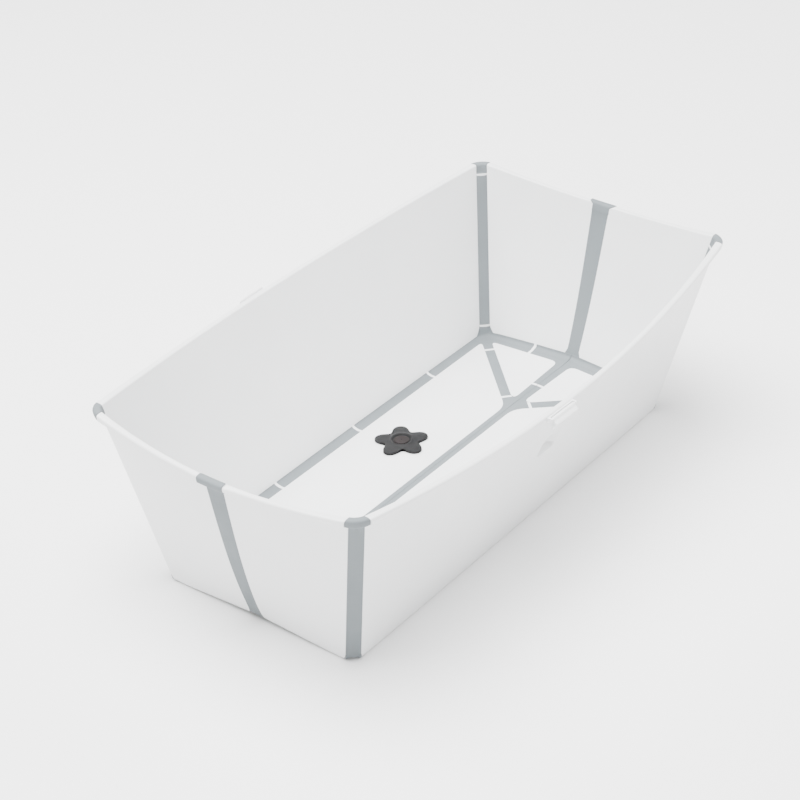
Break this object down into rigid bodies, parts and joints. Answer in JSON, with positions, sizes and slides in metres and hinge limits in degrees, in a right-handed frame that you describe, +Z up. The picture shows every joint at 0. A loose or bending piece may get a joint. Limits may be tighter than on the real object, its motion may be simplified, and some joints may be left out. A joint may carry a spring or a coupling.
{
  "type": "folding baby bathtub",
  "caption": "Folding baby bathtub: rigid white panels joined by soft grey fold strips, a star-shaped drain plug, a rim latch and a rolled rim.",
  "frame": {"origin": "centre of the tub's footprint, on the surface it stands on", "axes": "+X along the tub's length (away from the end nearest the viewer), +Y across towards the long wall opposite the latch, +Z up"},
  "size_m": [0.846, 0.4808, 0.2559],
  "materials": {
    "panel_white": "fine satin moulded polypropylene",
    "soft_grey": "matt thermoplastic elastomer",
    "plug_dark": "matt soft plastic",
    "sensor_dark": "matt soft plastic"
  },
  "bodies": {
    "keel": {"keel_strip": "soft_grey"},
    "floor_back": {"floor_back": "panel_white", "long_strip_back": "soft_grey", "diagonal_strip_rb": "soft_grey", "diagonal_strip_lb": "soft_grey", "drain_ring": "soft_grey", "foot_back_left": "soft_grey", "foot_back_right": "soft_grey"},
    "floor_front": {"floor_front": "panel_white", "long_strip_front": "soft_grey", "diagonal_strip_rf": "soft_grey", "diagonal_strip_lf": "soft_grey", "foot_front_left": "soft_grey", "foot_front_right": "soft_grey"},
    "wall_back": {"wall_back": "panel_white", "corner_strip_rb": "soft_grey", "corner_strip_lb": "soft_grey", "rim_catch": "panel_white"},
    "wall_front": {"wall_front": "panel_white", "corner_strip_rf": "soft_grey", "corner_strip_lf": "soft_grey", "latch_bracket": "panel_white", "latch_pin": "panel_white"},
    "gusset_rf": {"gusset_rf": "panel_white", "crease_strip_rf": "soft_grey"},
    "gusset_rb": {"gusset_rb": "panel_white", "crease_strip_rb": "soft_grey"},
    "gusset_lf": {"gusset_lf": "panel_white", "crease_strip_lf": "soft_grey"},
    "gusset_lb": {"gusset_lb": "panel_white", "crease_strip_lb": "soft_grey"},
    "end_rf": {"end_rf": "panel_white", "mid_strip_rf": "soft_grey", "end_foot_strip_rf": "soft_grey"},
    "end_rb": {"end_rb": "panel_white", "mid_strip_rb": "soft_grey", "end_foot_strip_rb": "soft_grey"},
    "end_lf": {"end_lf": "panel_white", "mid_strip_lf": "soft_grey", "end_foot_strip_lf": "soft_grey"},
    "end_lb": {"end_lb": "panel_white", "mid_strip_lb": "soft_grey", "end_foot_strip_lb": "soft_grey"},
    "plug": {"plug_star": "plug_dark", "plug_stem": "plug_dark", "plug_seal": "sensor_dark"},
    "latch": {"latch_tab": "panel_white"}
  },
  "joints": [
    {"name": "fold", "type": "hinge", "parent": "keel", "child": "floor_back", "pos_m": [0, 0.00032, 0.0236], "axis": [1, 0, 0], "range_deg": [0, 81.28]},
    {"name": "floor_front_fold", "type": "hinge", "parent": "keel", "child": "floor_front", "pos_m": [0, -0.00032, 0.0236], "axis": [-1, 0, 0], "range_deg": [0, 81.28]},
    {"name": "wall_back_turn", "type": "hinge", "parent": "floor_back", "child": "wall_back", "pos_m": [0, 0.14, 0.014], "axis": [-1, 0, 0], "range_deg": [0, 73.29], "deforming": ["long_strip_back"]},
    {"name": "wall_front_turn", "type": "hinge", "parent": "floor_front", "child": "wall_front", "pos_m": [0, -0.14, 0.014], "axis": [1, 0, 0], "range_deg": [0, 73.29], "deforming": ["long_strip_front"]},
    {"name": "end_rf_turn", "type": "hinge", "parent": "wall_front", "child": "end_rf", "pos_m": [0.342, -0.14, 0.014], "axis": [0.2307, -0.1939, 0.9535], "range_deg": [0, 90.81], "deforming": ["corner_strip_rf", "mid_strip_rf", "end_foot_strip_rf"]},
    {"name": "end_rb_turn", "type": "hinge", "parent": "wall_back", "child": "end_rb", "pos_m": [0.342, 0.14, 0.014], "axis": [-0.2307, -0.1939, -0.9535], "range_deg": [0, 90.81], "deforming": ["corner_strip_rb", "mid_strip_rb", "end_foot_strip_rb"]},
    {"name": "end_lf_turn", "type": "hinge", "parent": "wall_front", "child": "end_lf", "pos_m": [-0.342, -0.14, 0.014], "axis": [0.2307, 0.1939, -0.9535], "range_deg": [0, 90.81], "deforming": ["corner_strip_lf", "mid_strip_lf", "end_foot_strip_lf"]},
    {"name": "end_lb_turn", "type": "hinge", "parent": "wall_back", "child": "end_lb", "pos_m": [-0.342, 0.14, 0.014], "axis": [-0.2307, 0.1939, 0.9535], "range_deg": [0, 90.81], "deforming": ["corner_strip_lb", "mid_strip_lb", "end_foot_strip_lb"]},
    {"name": "gusset_rf_turn", "type": "hinge", "parent": "floor_front", "child": "gusset_rf", "pos_m": [0.342, -0.14014, 0.0164], "axis": [0.7193, -0.6935, -0.0397], "range_deg": [0, 179.01], "deforming": ["diagonal_strip_rf", "crease_strip_rf", "gusset_rf"]},
    {"name": "gusset_rb_turn", "type": "hinge", "parent": "floor_back", "child": "gusset_rb", "pos_m": [0.342, 0.14014, 0.0164], "axis": [-0.7193, -0.6935, 0.0397], "range_deg": [0, 179.01], "deforming": ["diagonal_strip_rb", "crease_strip_rb", "gusset_rb"]},
    {"name": "gusset_lf_turn", "type": "hinge", "parent": "floor_front", "child": "gusset_lf", "pos_m": [-0.342, -0.14014, 0.0164], "axis": [0.7193, 0.6935, 0.0397], "range_deg": [0, 179.01], "deforming": ["diagonal_strip_lf", "crease_strip_lf", "gusset_lf"]},
    {"name": "gusset_lb_turn", "type": "hinge", "parent": "floor_back", "child": "gusset_lb", "pos_m": [-0.342, 0.14014, 0.0164], "axis": [-0.7193, 0.6935, -0.0397], "range_deg": [0, 179.01], "deforming": ["diagonal_strip_lb", "crease_strip_lb", "gusset_lb"]},
    {"name": "plug_lift", "type": "slide", "parent": "floor_back", "child": "plug", "axis": [0, 0.0571, 0.9984], "range_m": [0, 0.009]},
    {"name": "latch_turn", "type": "hinge", "parent": "wall_front", "child": "latch", "pos_m": [-0.05425, -0.23623, 0.23413], "axis": [-0.9997, 0.0248, 0], "range_deg": [0, 100]}
  ],
  "couplings": [
    {"joint": "floor_front_fold", "follows": "fold", "ratio": 1},
    {"joint": "wall_back_turn", "follows": "fold", "ratio": 0.90157},
    {"joint": "wall_front_turn", "follows": "fold", "ratio": 0.90157},
    {"joint": "end_rf_turn", "follows": "fold", "ratio": 1.1172},
    {"joint": "end_rb_turn", "follows": "fold", "ratio": 1.1172},
    {"joint": "end_lf_turn", "follows": "fold", "ratio": 1.1172},
    {"joint": "end_lb_turn", "follows": "fold", "ratio": 1.1172},
    {"joint": "gusset_rf_turn", "follows": "fold", "ratio": 2.2024},
    {"joint": "gusset_rb_turn", "follows": "fold", "ratio": 2.2024},
    {"joint": "gusset_lf_turn", "follows": "fold", "ratio": 2.2024},
    {"joint": "gusset_lb_turn", "follows": "fold", "ratio": 2.2024}
  ]
}
